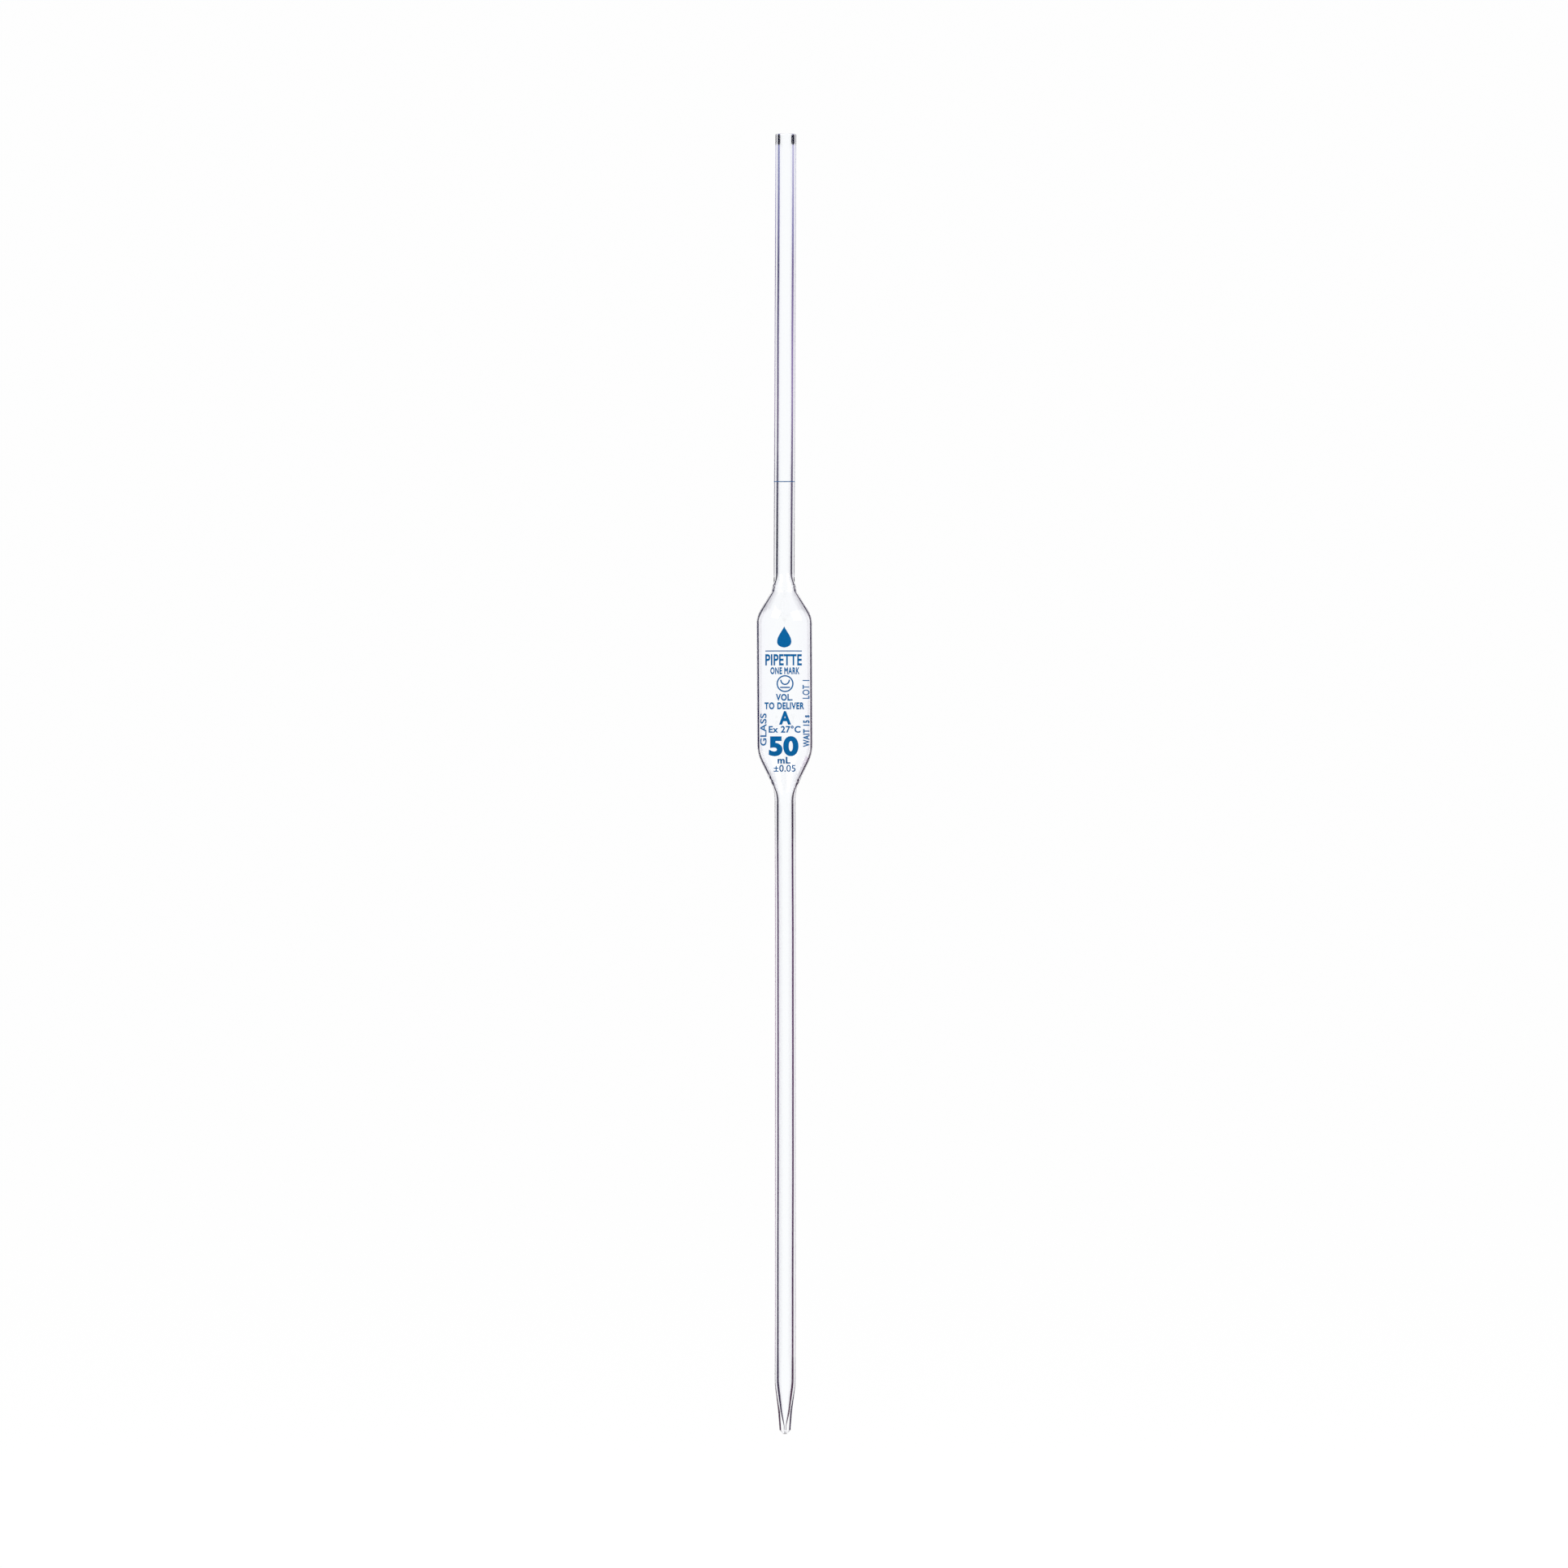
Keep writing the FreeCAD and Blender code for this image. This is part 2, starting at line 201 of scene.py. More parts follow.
def bend_at(height):
    """How far the bent axis stands from the straight one, towards +X."""
    def straight(z):
        for (z0, x0), (z1, x1) in zip(BENDS, BENDS[1:]):
            if z <= z1:
                return x0 + (x1 - x0) * (z - z0) / (z1 - z0)
        return BENDS[-1][1]

    reach = min(BEND_EASE, height, LENGTH - height)
    samples = [straight(height + reach * k / 6) for k in range(-6, 7)]
    return sum(samples) / len(samples)


def share_on_tube(height):
    """0 on the bulb and its seals, and 1 on the plain tubes, with a slow rise between."""
    below = LOWER_SEAL - WAVE_BELOW_BULB - height
    above = height - UPPER_SEAL - WAVE_ABOVE_BULB
    return min(1.0, max(0.0, max(below, above) / WAVE_EASE))


def swelling(height, angle):
    """How far the beads and the drawing waves lift the outside of the glass."""
    lift = 0.0
    for bead_height, rise, half_height, side, one_sided in BEADS:
        away = (height - bead_height) / half_height
        share = 1 - one_sided / 2 + one_sided / 2 * math.cos(angle - math.radians(side))
        lift += rise * share * math.exp(-away * away)
    place = Vector((math.cos(angle), math.sin(angle), height / WAVE_HEIGHT))
    return lift + TUBE_WAVE * share_on_tube(height) * noise.noise(place)


def bore_shift(height):
    """How far the bore stands off the middle of the tube."""
    on_tube = share_on_tube(height) * min(1.0, height / JET_TAPER_TOP)
    x = noise.noise(Vector((0.3, 0.7, height / WAVE_HEIGHT)))
    y = noise.noise(Vector((5.3, 2.7, height / WAVE_HEIGHT)))
    side = BORE_SIDE if height > UPPER_SEAL else 0.0
    return Vector((x * BORE_DRIFT + side, y * BORE_DRIFT, 0)) * on_tube


# ---- Glass ------------------------------------------------------------------------------------------

def new_piece(name, bm, materials):
    mesh = bpy.data.meshes.new(name)
    bm.to_mesh(mesh)
    bm.free()
    piece = bpy.data.objects.new(name, mesh)
    bpy.context.scene.collection.objects.link(piece)
    for material in materials:
        mesh.materials.append(material)
    return piece


def ring_of_points(bm, radius, height, is_bore):
    """One turn of points round the bent axis, in metres."""
    points = []
    centre = Vector((bend_at(height), 0, height))
    if is_bore:
        centre += bore_shift(height)
    for k in range(SIDES):
        angle = 2 * math.pi * k / SIDES
        reach = radius if is_bore else radius + swelling(height, angle)
        outwards = Vector((math.cos(angle), math.sin(angle), 0))
        points.append(bm.verts.new((centre + outwards * reach) * MM))
    return points


def glass_piece(name, outside, bore, materials, sealed, ground=None):
    """A closed length of tubing.

    The ends named in sealed, "low" or "high", are fused to a neighbour. The outside is ground up to the
    height in ground.
    """
    bm = bmesh.new()
    outside_line = divided(rounded(outside), BEADS)
    bore_line = divided(rounded(bore), [])[::-1]
    heights = [point.y for point in outside_line + bore_line]
    rings = [ring_of_points(bm, point.x, point.y, False) for point in outside_line]
    rings += [ring_of_points(bm, point.x, point.y, True) for point in bore_line]
    outside_count = len(outside_line)
    for i, ring in enumerate(rings):
        after = (i + 1) % len(rings)
        for k in range(SIDES):
            corner = (k + 1) % SIDES
            face = bm.faces.new((ring[k], ring[corner], rings[after][corner], rings[after][k]))
            face.smooth = True
            is_seal = (i == outside_count - 1 and "high" in sealed) or (after == 0 and "low" in sealed)
            if is_seal:
                face.material_index = 1
                face.smooth = False
                for edge in face.edges:
                    edge.smooth = False
                continue
            is_outside = i < outside_count or after == 0
            if ground and is_outside and max(heights[i], heights[after]) <= ground:
                face.material_index = 2
    bmesh.ops.recalc_face_normals(bm, faces=bm.faces)
    return new_piece(name, bm, materials)


# ---- Print ------------------------------------------------------------------------------------------

def flat_text(text, spacing):
    """A line of text as flat triangles, one unit to the em."""
    curve = bpy.data.curves.new("lettering", "FONT")
    curve.body = text
    curve.space_character = spacing
    curve.resolution_u = 6
    holder = bpy.data.objects.new("lettering", curve)
    bpy.context.scene.collection.objects.link(holder)
    bpy.context.view_layer.update()
    evaluated = holder.evaluated_get(bpy.context.evaluated_depsgraph_get())
    mesh = bpy.data.meshes.new_from_object(evaluated)
    bm = bmesh.new()
    bm.from_mesh(mesh)
    bpy.data.objects.remove(holder)
    bpy.data.curves.remove(curve)
    bpy.data.meshes.remove(mesh)
    return bm


def thicken(bm, by):
    """Makes the lines of flat artwork heavier by moving its outline outwards."""
    bmesh.ops.remove_doubles(bm, verts=bm.verts, dist=1e-5)
    sides = {}
    for edge in bm.edges:
        if len(edge.link_loops) == 1:
            loop = edge.link_loops[0]
            along = (loop.link_loop_next.vert.co - loop.vert.co).normalized()
            for vert in edge.verts:
                sides.setdefault(vert, []).append(Vector((along.y, -along.x, 0)))
    for vert, outward in sides.items():
        push = sum(outward, Vector()).normalized()
        vert.co += push * by / max(push.dot(outward[0]), MITRE_LIMIT)


def fit_to_box(bm, node, upwards):
    """Lays flat artwork (u, v) into the node's box, as (x, height) in millimetres."""
    low, high = [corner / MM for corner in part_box(node)]
    us = [v.co.x for v in bm.verts]
    vs = [v.co.y for v in bm.verts]
    left, width = min(us), max(us) - min(us)
    foot, rise = min(vs), max(vs) - min(vs)
    for v in bm.verts:
        u = (v.co.x - left) / width
        w = (v.co.y - foot) / rise
        if upwards:
            u, w = 1 - w, u
        v.co = (low.x + u * (high.x - low.x), low.z + w * (high.z - low.z), 0)


def cut_by_grid(bm):
    """Divides flat artwork so that it can follow the curve of the bulb."""
    for axis in range(2):
        normal = Vector((1, 0, 0)) if axis == 0 else Vector((0, 1, 0))
        places = [v.co[axis] for v in bm.verts]
        first = math.floor(min(places) / PRINT_GRID) + 1
        last = math.ceil(max(places) / PRINT_GRID)
        for k in range(first, last):
            everything = bm.verts[:] + bm.edges[:] + bm.faces[:]
            place = normal * (k * PRINT_GRID)
            bmesh.ops.bisect_plane(bm, geom=everything, dist=1e-5, plane_co=place, plane_no=normal)


def on_bulb(x, height, proud, radius_at):
    """The point of the bulb's front straight behind (x, height), lifted off the glass by proud."""
    centre = bend_at(height)
    reach = radius_at(height) + proud
    across = x - centre
    return Vector((x, -math.sqrt(max(reach * reach - across * across, 0.01)), height)) * MM


def film(name, bm, radius_at, material):
    """A closed film of enamel on the bulb with the shape of the flat artwork."""
    bmesh.ops.remove_doubles(bm, verts=bm.verts, dist=1e-4)
    bmesh.ops.dissolve_degenerate(bm, edges=bm.edges, dist=1e-4)
    flat = [(v.co.x, v.co.y) for v in bm.verts]
    bm.verts.index_update()
    faces = [[v.index for v in face.verts] for face in bm.faces]
    rims = []
    for edge in bm.edges:
        if len(edge.link_loops) == 1:
            loop = edge.link_loops[0]
            rims.append((loop.vert.index, loop.link_loop_next.vert.index))
    bm.free()
    made = bmesh.new()
    back = [made.verts.new(on_bulb(x, z, PRINT_GAP, radius_at)) for x, z in flat]
    front = [made.verts.new(on_bulb(x, z, PRINT_THICKNESS, radius_at)) for x, z in flat]
    for face in faces:
        made.faces.new([front[i] for i in face])
        made.faces.new([back[i] for i in reversed(face)])
    for start, end in rims:
        made.faces.new((back[start], back[end], front[end], front[start]))
    bmesh.ops.recalc_face_normals(made, faces=made.faces)
    piece = new_piece(name, made, [material])
    return piece


def printed_word(node, text, material, bold, spacing, upwards):
    bm = flat_text(text, spacing)
    thicken(bm, bold)
    fit_to_box(bm, node, upwards)
    cut_by_grid(bm)
    return mounted(film(node.replace("_print", "_enamel"), bm, BULB_RADIUS_AT, material), node)


def band(bm, inner, outer):
    """Flat quads between two open or closed lines of points."""
    inner_verts = [bm.verts.new((x, y, 0)) for x, y in inner]
    outer_verts = [bm.verts.new((x, y, 0)) for x, y in outer]
    for k in range(len(inner) - 1):
        bm.faces.new((inner_verts[k], inner_verts[k + 1], outer_verts[k + 1], outer_verts[k]))


def stroke(bm, points, width):
    """A pen line of constant width along the points."""
    left, right = [], []
    for k, point in enumerate(points):
        before = Vector(points[max(k - 1, 0)])
        after = Vector(points[min(k + 1, len(points) - 1)])
        along = (after - before).normalized()
        side = Vector((-along.y, along.x)) * width / 2
        left.append(Vector(point) + side)
        right.append(Vector(point) - side)
    band(bm, [tuple(p) for p in left], [tuple(p) for p in right])


def drop_outline(steps):
    """A drop: a round foot that runs up to a point. Its first and last points are the same."""
    points = []
    for k in range(steps + 1):
        angle = 2 * math.pi * k / steps
        pinch = math.sin(angle / 2) ** 1.6
        points.append((math.sin(angle) * pinch, math.cos(angle)))
    return points


def drop_emblem(node, material):
    bm = bmesh.new()
    edge = drop_outline(64)[:-1]
    rim = [bm.verts.new((x, y, 0)) for x, y in edge]
    bm.faces.new(rim)
    bmesh.ops.triangulate(bm, faces=bm.faces)
    fit_to_box(bm, node, False)
    cut_by_grid(bm)
    return mounted(film("drop_emblem_enamel", bm, BULB_RADIUS_AT, material), node)


def meniscus_pictogram(node, material):
    """A ring round a bowl-shaped liquid surface that rests on its mark."""
    bm = bmesh.new()
    width = 0.16
    ring_steps, bowl_steps = 72, 24
    turns = [2 * math.pi * k / ring_steps for k in range(ring_steps + 1)]
    circle = [(math.cos(turn), math.sin(turn)) for turn in turns]
    inner = [(x * (1 - width), y * (1 - width)) for x, y in circle]
    band(bm, inner, circle)
    mark_level, mark_reach = -0.44, 0.58
    stroke(bm, [(-mark_reach, mark_level), (mark_reach, mark_level)], width)
    bowl_width, bowl_depth = 0.5, 0.55
    bowl_foot = mark_level + 2.2 * width
    bowl = []
    for k in range(bowl_steps + 1):
        angle = math.pi * (1 + k / bowl_steps)
        bowl.append((bowl_width * math.cos(angle), bowl_foot + bowl_depth * (1 + math.sin(angle))))
    stroke(bm, bowl, width)
    fit_to_box(bm, node, False)
    cut_by_grid(bm)
    return mounted(film("meniscus_enamel", bm, BULB_RADIUS_AT, material), node)


def rule_line(node, material):
    bm = bmesh.new()
    stroke(bm, [(0, 0), (1, 0)], 0.03)
    fit_to_box(bm, node, False)
    cut_by_grid(bm)
    return mounted(film("rule_line_enamel", bm, BULB_RADIUS_AT, material), node)


def ring_mark(node, material):
    """The graduation: a thin fired band round the suction tube."""
    middle = sum(corner.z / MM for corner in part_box(node)) / 2
    low, high = middle - RING_WIDTH / 2, middle + RING_WIDTH / 2
    bm = bmesh.new()
    rings = []
    section = [(PRINT_GAP, low), (PRINT_THICKNESS, low), (PRINT_THICKNESS, high), (PRINT_GAP, high)]
    for proud, height in section:
        ring = []
        for k in range(RING_SIDES):
            angle = 2 * math.pi * k / RING_SIDES
            reach = TUBE_RADIUS + swelling(height, angle) + proud
            centre = Vector((bend_at(height), 0, height))
            outwards = Vector((math.cos(angle), math.sin(angle), 0))
            ring.append(bm.verts.new((centre + outwards * reach) * MM))
        rings.append(ring)
    for i, ring in enumerate(rings):
        after = rings[(i + 1) % len(rings)]
        for k in range(RING_SIDES):
            corner = (k + 1) % RING_SIDES
            bm.faces.new((ring[k], ring[corner], after[corner], after[k]))
    bmesh.ops.recalc_face_normals(bm, faces=bm.faces)
    piece = new_piece("ring_mark_enamel", bm, [material])
    return mounted(piece, node)


def mounted(piece, node):
    """The finished piece, in the place of its CAD node."""
    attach(piece, BODY)
    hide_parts(node)
    return piece


# ---- Materials --------------------------------------------------------------------------------------

def new_material(name):
    material = bpy.data.materials.new(name)
    material.use_nodes = True
    nodes = material.node_tree.nodes
    return material, nodes, material.node_tree.links, nodes["Principled BSDF"]


def stretched_noise(nodes, links, across, along, detail):
    """Noise over the object's own coordinates, drawn out along the pipette. Scales are per metre."""
    place = nodes.new("ShaderNodeTexCoord")
    stretch = nodes.new("ShaderNodeMapping")
    stretch.inputs["Scale"].default_value = (across, across, along)
    links.new(place.outputs["Object"], stretch.inputs["Vector"])
    pattern = nodes.new("ShaderNodeTexNoise")
    pattern.inputs["Scale"].default_value = 1.0
    pattern.inputs["Detail"].default_value = detail
    links.new(stretch.outputs["Vector"], pattern.inputs["Vector"])
    return pattern.outputs["Fac"]


def bumped(nodes, links, shader, height, strength, distance):
    bump = nodes.new("ShaderNodeBump")
    bump.inputs["Strength"].default_value = strength
    bump.inputs["Distance"].default_value = distance
    links.new(height, bump.inputs["Height"])
    links.new(bump.outputs["Normal"], shader.inputs["Normal"])


def ramp(nodes, links, factor, stops):
    colours = nodes.new("ShaderNodeValToRGB")
    band_of = colours.color_ramp
    while len(band_of.elements) < len(stops):
        band_of.elements.new(0.5)
    for element, (position, colour) in zip(band_of.elements, stops):
        element.position = position
        element.color = (*colour, 1.0)
    links.new(factor, colours.inputs["Fac"])
    return colours.outputs["Color"]


def drawn_glass():
    """Clear borosilicate tubing: drawing lines along it, and a painted shade that turns it darker and
    violet towards its edges.
    """
    material, nodes, links, shader = new_material("drawn_borosilicate")
    shader.inputs["Transmission Weight"].default_value = 1.0
    shader.inputs["IOR"].default_value = 1.473
    shader.inputs["Roughness"].default_value = 0.0
    # Painted shade: the glass's colour is darkened and turned violet where its surface is seen edge-on,
    # by the angle it is seen at.
    edge = nodes.new("ShaderNodeLayerWeight")
    edge.inputs["Blend"].default_value = 0.35
    painted_edge_shade = ramp(nodes, links, edge.outputs["Facing"], [
        (0.0, (0.985, 0.993, 1.0)),
        (0.2, (0.974, 0.98, 0.997)),
        (0.6, (0.955, 0.94, 0.99)),
        (1.0, (0.93, 0.86, 0.97)),
    ])
    links.new(painted_edge_shade, shader.inputs["Base Color"])
    lines = stretched_noise(nodes, links, 1400.0, 12.0, 3.0)
    bumped(nodes, links, shader, lines, 0.05, 0.00002)
    return material


def ground_glass():
    """The ground and lightly polished bevel of the jet."""
    material, nodes, links, shader = new_material("ground_jet")
    shader.inputs["Transmission Weight"].default_value = 0.55
    shader.inputs["IOR"].default_value = 1.473
    shader.inputs["Roughness"].default_value = 0.22
    shade = ramp(nodes, links, stretched_noise(nodes, links, 9000.0, 9000.0, 4.0), [
        (0.3, (0.93, 0.93, 0.97)),
        (0.7, (0.99, 0.99, 1.0)),
    ])
    links.new(shade, shader.inputs["Base Color"])
    grit = stretched_noise(nodes, links, 25000.0, 25000.0, 2.0)
    bumped(nodes, links, shader, grit, 0.3, 0.00001)
    return material


def fused_seal():
    """Where two lengths are melted into one there is no surface: light passes straight on."""
    material = bpy.data.materials.new("fused_seal")
    material.use_nodes = True
    nodes = material.node_tree.nodes
    nodes.clear()
    clear = nodes.new("ShaderNodeBsdfTransparent")
    output = nodes.new("ShaderNodeOutputMaterial")
    material.node_tree.links.new(clear.outputs["BSDF"], output.inputs["Surface"])
    return material


def fired_enamel():
    """Screen-printed ceramic ink: satin, with slightly uneven cover and a fine orange peel."""
    material, nodes, links, shader = new_material("fired_enamel")
    shader.inputs["Specular IOR Level"].default_value = 0.05
    cover = stretched_noise(nodes, links, 1500.0, 1500.0, 4.0)
    colour = ramp(nodes, links, cover, [
        (0.3, (0.0, 0.075, 0.215)),
        (0.55, (0.0, 0.09, 0.255)),
        (0.8, (0.001, 0.108, 0.30)),
    ])
    links.new(colour, shader.inputs["Base Color"])
    satin = nodes.new("ShaderNodeMapRange")
    satin.inputs["To Min"].default_value = 0.3
    satin.inputs["To Max"].default_value = 0.5
    links.new(cover, satin.inputs["Value"])
    links.new(satin.outputs["Result"], shader.inputs["Roughness"])
    peel = stretched_noise(nodes, links, 6000.0, 6000.0, 2.0)
    bumped(nodes, links, shader, peel, 0.25, 0.00002)
    return material


def pale_ground():
    material, nodes, links, shader = new_material("pale_ground")
    shader.inputs["Base Color"].default_value = (0.08, 0.08, 0.08, 1.0)
    shader.inputs["Emission Color"].default_value = (1.0, 1.0, 1.0, 1.0)
    shader.inputs["Emission Strength"].default_value = 0.911
    shader.inputs["Roughness"].default_value = 0.9
    shader.inputs["Specular IOR Level"].default_value = 0.0
    return material


# ---- Studio: white all round, with upright cards beside the glass -----------------------------------

CAMERA_DISTANCE = 6.0
FLOOR_DROP = 0.12  # the pipette is held up by its suction tube, clear of the floor
FLOOR_REACH = 30.0
MOUTH_CARD_FOOT = 615.4  # from this height up the cards are almost black
# At each height in millimetres: how far to the side the cards stand, in metres, and the angles from
# straight behind the glass at which the left card, then the right card, begins and ends, in degrees
CARD_STATIONS = [
    (-60.0, 0.025, 31.0, 114.0, 31.0, 114.0),
    (18.0, 0.025, 31.0, 114.0, 31.0, 114.0),
    (25.0, 0.025, 34.0, 108.0, 34.0, 108.0),
    (30.0, 0.025, 34.0, 108.0, 34.0, 108.0),
    (38.0, 0.01, 49.0, 118.0, 53.0, 118.0),
    (65.0, 0.01, 49.0, 118.0, 53.0, 118.0),
    (100.0, 0.01, 52.0, 118.0, 53.0, 118.0),
    (240.0, 0.01, 52.0, 118.0, 53.0, 118.0),
    (282.0, 0.01, 50.0, 118.0, 51.0, 118.0),
    (292.0, 0.025, 36.0, 105.0, 35.0, 105.0),
    (300.0, 0.025, 36.0, 105.0, 35.0, 105.0),
    (308.0, 0.1, 21.5, 40.0, 21.5, 40.0),
    (322.0, 0.1, 21.5, 48.0, 21.5, 48.0),
    (392.0, 0.1, 21.5, 48.0, 21.5, 48.0),
    (404.0, 0.1, 21.5, 40.0, 21.5, 40.0),
    (411.0, 0.025, 36.0, 105.0, 35.0, 105.0),
    (450.0, 0.025, 36.0, 105.0, 35.0, 105.0),
    (470.0, 0.025, 36.0, 74.0, 35.0, 92.0),
    (530.0, 0.025, 36.0, 92.0, 35.0, 92.0),
    (MOUTH_CARD_FOOT, 0.025, 36.0, 92.0, 35.0, 92.0),
    (MOUTH_CARD_FOOT + 0.2, 0.025, 28.0, 112.0, 20.0, 112.0),
    (MOUTH_CARD_FOOT + 2.0, 0.025, 28.0, 112.0, 20.0, 112.0),
    (700.0, 0.025, 28.0, 112.0, 20.0, 112.0),
]
# The cards' colours up the pipette, as shares of its length
LEFT_CARD_COLOURS = [
    (0.0, (0.018, 0.004, 0.045)),
    (0.13, (0.018, 0.004, 0.045)),
    (0.3, (0.055, 0.008, 0.09)),
    (0.42, (0.045, 0.006, 0.075)),
    (0.47, (0.01, 0.003, 0.03)),
    (0.55, (0.009, 0.006, 0.055)),
    (0.62, (0.01, 0.008, 0.06)),
    (0.69, (0.01, 0.008, 0.03)),
    (0.74, (0.06, 0.048, 0.11)),
    (0.79, (0.13, 0.09, 0.2)),
    (0.82, (0.10, 0.07, 0.19)),
    (0.87, (0.06, 0.042, 0.16)),
    (0.9, (0.035, 0.028, 0.13)),
    (0.93, (0.10, 0.09, 0.27)),
    (0.985, (0.21, 0.22, 0.44)),
]
RIGHT_CARD_COLOURS = [
    (0.0, (0.045, 0.003, 0.035)),
    (0.13, (0.035, 0.003, 0.045)),
    (0.3, (0.06, 0.002, 0.075)),
    (0.42, (0.05, 0.002, 0.065)),
    (0.47, (0.025, 0.003, 0.03)),
    (0.62, (0.05, 0.04, 0.085)),
    (0.67, (0.035, 0.025, 0.06)),
    (0.7, (0.08, 0.055, 0.12)),
    (0.74, (0.08, 0.05, 0.13)),
    (0.8, (0.26, 0.18, 0.38)),
    (0.83, (0.22, 0.14, 0.36)),
    (0.9, (0.12, 0.07, 0.24)),
    (0.93, (0.2, 0.17, 0.40)),
    (0.985, (0.48, 0.46, 0.68)),
]
MOUTH_CARD_COLOURS = [(0.0, (0.001, 0.001, 0.016)), (1.0, (0.001, 0.001, 0.016))]
# A pale card far out on the right, which only the left edge of the delivery tube looks at
PALE_CARD_STATIONS = [
    (32.0, 0.1, 34.0, 76.0),
    (290.0, 0.1, 34.0, 76.0),
]
PALE_CARD_COLOURS = [(0.0, (0.38, 0.13, 0.38)), (1.0, (0.38, 0.13, 0.38))]


def card_material(name, colours):
    """A card's own colour, which changes with height and needs no lamp."""
    material = bpy.data.materials.new(name)
    material.use_nodes = True
    nodes, links = material.node_tree.nodes, material.node_tree.links
    nodes.clear()
    place = nodes.new("ShaderNodeTexCoord")
    apart = nodes.new("ShaderNodeSeparateXYZ")
    links.new(place.outputs["Object"], apart.inputs["Vector"])
    up = nodes.new("ShaderNodeMapRange")
    up.inputs["From Max"].default_value = LENGTH * MM
    links.new(apart.outputs["Z"], up.inputs["Value"])
    light = nodes.new("ShaderNodeEmission")
    links.new(ramp(nodes, links, up.outputs["Result"], colours), light.inputs["Color"])
    output = nodes.new("ShaderNodeOutputMaterial")
    links.new(light.outputs["Emission"], output.inputs["Surface"])
    return material


def upright_card(name, side, stations, colours, rig):
    """One card, seen only by light that the glass has bent or reflected."""
    bm = bmesh.new()
    rows = []
    for level, offset, far, near in stations:
        height = level * MM
        row = []
        for degrees in (far, near):
            depth = offset / math.tan(math.radians(degrees))
            climb = (height - LENGTH * MM / 2) * depth / CAMERA_DISTANCE
            row.append(bm.verts.new((side * offset, depth, height + climb)))
        rows.append(row)
    for i, (low, high) in enumerate(zip(rows, rows[1:])):
        face = bm.faces.new((low[0], low[1], high[1], high[0]))
        if stations[i][0] >= MOUTH_CARD_FOOT:
            face.material_index = 1
    materials = [card_material(name, colours)]
    if stations[-1][0] > MOUTH_CARD_FOOT:
        materials.append(card_material(name + "_mouth", MOUTH_CARD_COLOURS))
    card = new_piece(name, bm, materials)
    card.visible_camera = False
    card.visible_diffuse = False
    card.visible_shadow = False
    card.visible_volume_scatter = False
    card.parent = rig


def soft_light(name, place, size, watts):
    lamp = bpy.data.lights.new(name, "AREA")
    lamp.shape = "RECTANGLE"
    lamp.size, lamp.size_y = size
    lamp.energy = watts
    holder = bpy.data.objects.new(name, lamp)
    bpy.context.scene.collection.objects.link(holder)
    holder.location = place
    aim = Vector((0, 0, LENGTH * MM / 2)) - Vector(place)
    holder.rotation_euler = aim.to_track_quat("-Z", "Y").to_euler()
    holder.visible_camera = False


def studio(camera):
    scene = bpy.context.scene
    scene.view_settings.view_transform = "Standard"
    world = bpy.data.worlds.new("white_surround")
    world.use_nodes = True
    surround = world.node_tree.nodes["Background"]
    surround.inputs["Color"].default_value = (0.99, 0.99, 0.99, 1.0)
    surround.inputs["Strength"].default_value = 1.0
    scene.world = world

    bm = bmesh.new()
    corners = ((-1, -1), (1, -1), (1, 1), (-1, 1))
    bm.faces.new([bm.verts.new((x * FLOOR_REACH, y * FLOOR_REACH, 0)) for x, y in corners])
    floor = new_piece("floor", bm, [pale_ground()])
    floor.location.z = -FLOOR_DROP

    soft_light("key_light", (-1.5, -1.5, 2.2), (1.6, 1.6), 40.0)
    soft_light("fill_light", (1.8, -1.0, 1.6), (1.6, 1.6), 25.0)

    rig = bpy.data.objects.new("card_rig", None)
    scene.collection.objects.link(rig)
    follow = rig.constraints.new("COPY_ROTATION")
    follow.target = camera
    follow.use_x = False
    follow.use_y = False
    left = [(level, offset, far, near) for level, offset, far, near, _, _ in CARD_STATIONS]
    right = [(level, offset, far, near) for level, offset, _, _, far, near in CARD_STATIONS]
    upright_card("dark_card_left", -1, left, LEFT_CARD_COLOURS, rig)
    upright_card("dark_card_right", 1, right, RIGHT_CARD_COLOURS, rig)
    upright_card("pale_card_right", 1, PALE_CARD_STATIONS, PALE_CARD_COLOURS, rig)


# ---- Camera: level with the middle of the pipette and far away, as a long lens sees it ---------------

SENSOR = 36.0
VIEW_SPAN = LENGTH * MM * 1.206  # what the frame shows at the pipette
CAMERA_SIDE = -0.0005


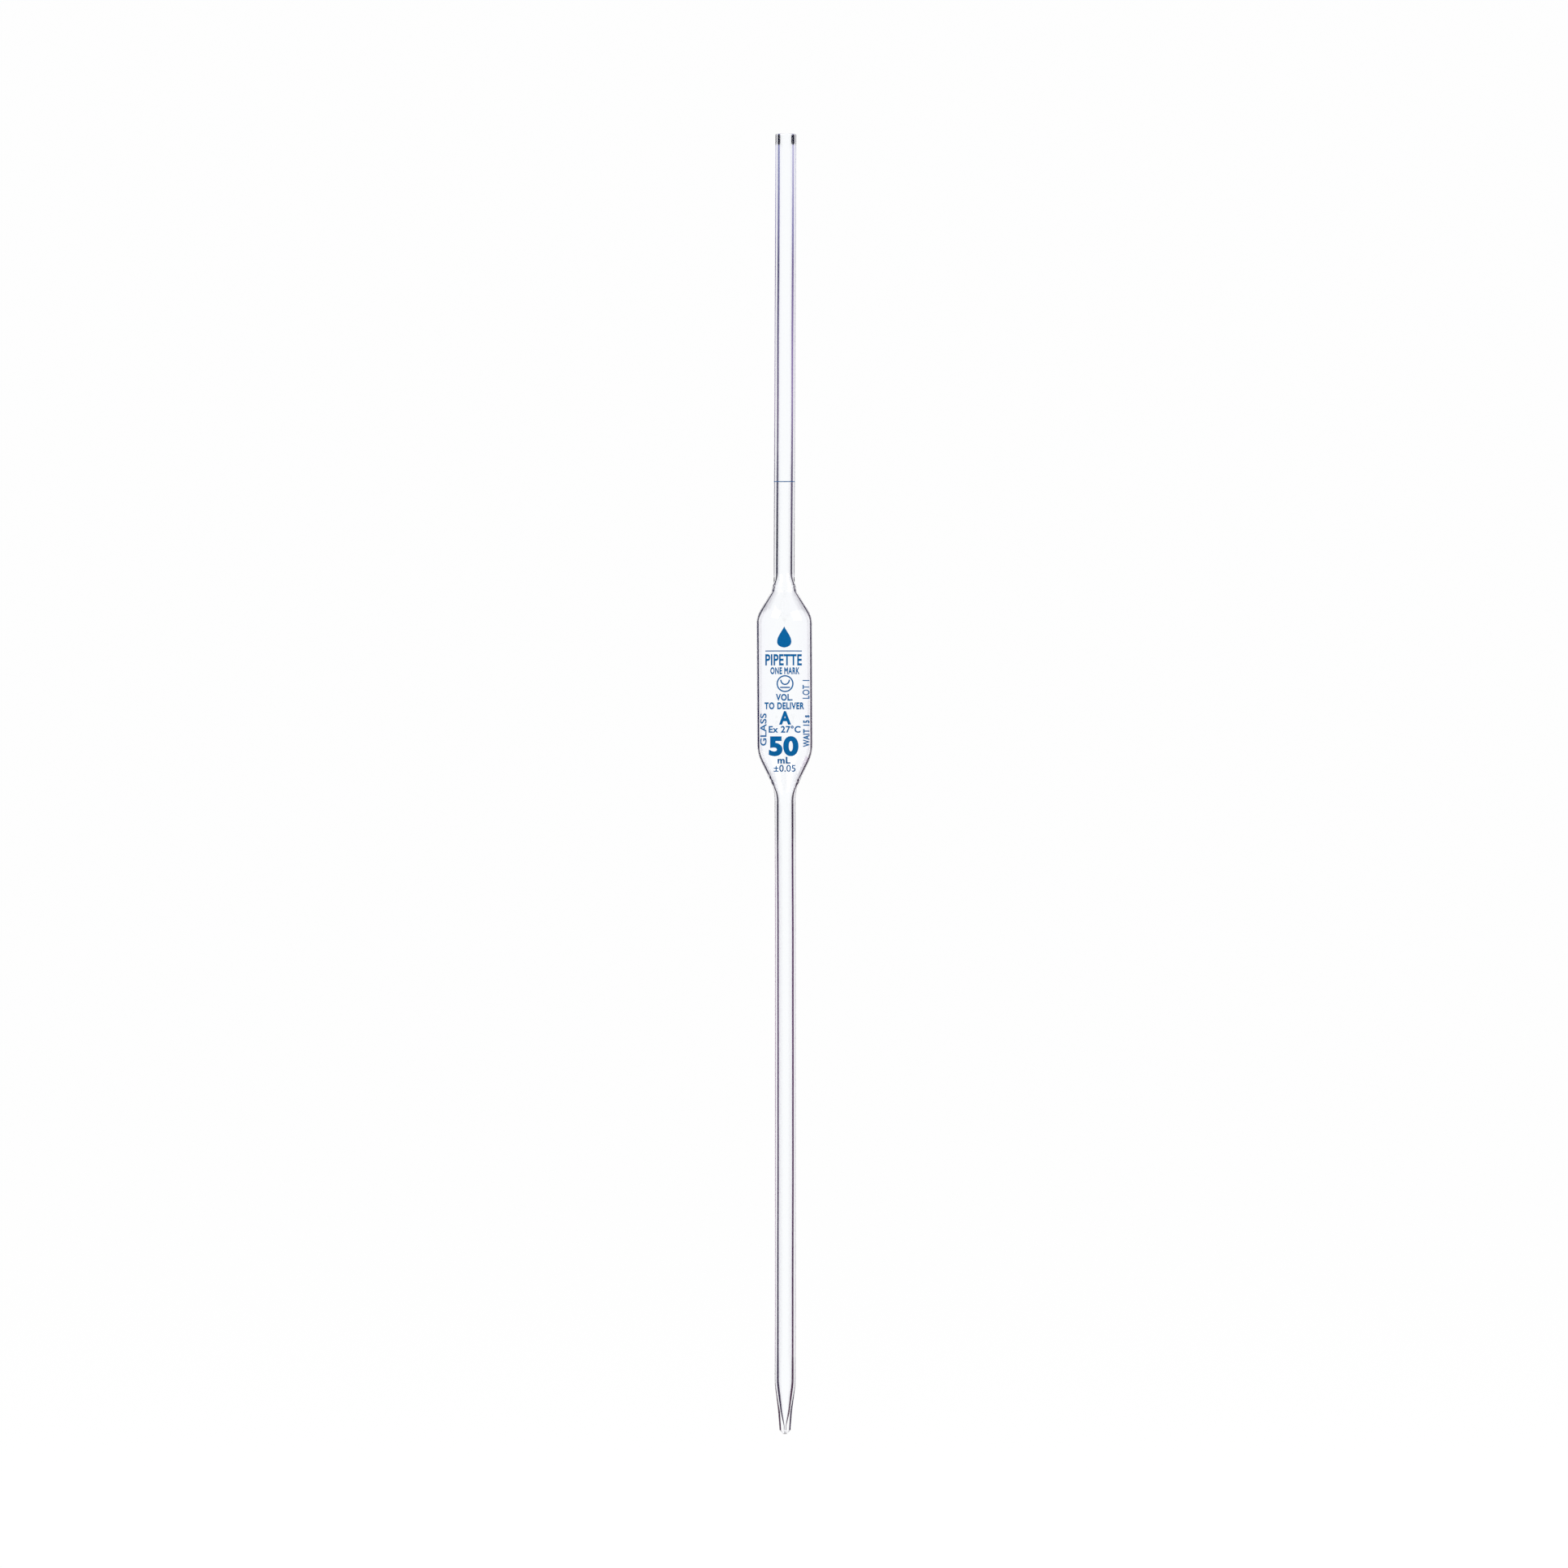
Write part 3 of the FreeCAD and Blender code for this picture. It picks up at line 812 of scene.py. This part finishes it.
def make_camera():
    data = bpy.data.cameras.new("camera")
    data.sensor_width = SENSOR
    data.lens = SENSOR * CAMERA_DISTANCE / VIEW_SPAN
    data.clip_start = 0.1
    data.clip_end = 100.0
    camera = bpy.data.objects.new("camera", data)
    bpy.context.scene.collection.objects.link(camera)
    camera.location = (CAMERA_SIDE, -CAMERA_DISTANCE, LENGTH * MM / 2)
    camera.rotation_euler = (math.pi / 2, 0, 0)
    bpy.context.scene.camera = camera
    return camera


# ---- The whole pipette ------------------------------------------------------------------------------

BULB_RADIUS_AT = outside_radius(BULB_OUTSIDE)
glass, seal, ground, enamel = drawn_glass(), fused_seal(), ground_glass(), fired_enamel()

GLASS_PIECES = [  # (node, outside, bore, materials, fused ends, top of the ground bevel)
    ("delivery_tube", DELIVERY_OUTSIDE, DELIVERY_BORE, [glass, seal, ground], ("high",), JET_BEVEL_TOP),
    ("bulb", BULB_OUTSIDE, BULB_BORE, [glass, seal], ("low", "high"), None),
    ("suction_tube", SUCTION_OUTSIDE, SUCTION_BORE, [glass, seal], ("low",), None),
]
for node, outside, bore, materials, sealed, ground_top in GLASS_PIECES:
    piece = glass_piece(node + "_glass", outside, bore, materials, sealed, ground_top)
    mounted(piece, node)

WORDS = [  # (node, text, added line width in ems, letter spacing, reads upwards)
    ("title_print", "PIPETTE", 0.028, 1.05, False),
    ("one_mark_print", "ONE MARK", 0.044, 1.13, False),
    ("volume_word_print", "VOL.", 0.042, 1.1, False),
    ("to_deliver_print", "TO DELIVER", 0.044, 1.13, False),
    ("class_letter_print", "A", 0.05, 1.0, False),
    ("temperature_print", "Ex 27°C", 0.032, 1.07, False),
    ("capacity_print", "50", 0.05, 1.06, False),
    ("unit_print", "mL", 0.036, 1.06, False),
    ("tolerance_print", "±0.05", 0.016, 1.03, False),
    ("glass_print", "GLASS", 0.02, 1.03, True),
    ("wait_print", "WAIT 15 s", 0.042, 1.1, True),
    ("lot_print", "LOT 1", 0.018, 1.06, True),
]
for node, text, bold, spacing, upwards in WORDS:
    printed_word(node, text, enamel, bold, spacing, upwards)
drop_emblem("drop_emblem_print", enamel)
meniscus_pictogram("meniscus_print", enamel)
rule_line("rule_line_print", enamel)
ring_mark("ring_mark", enamel)

studio(make_camera())
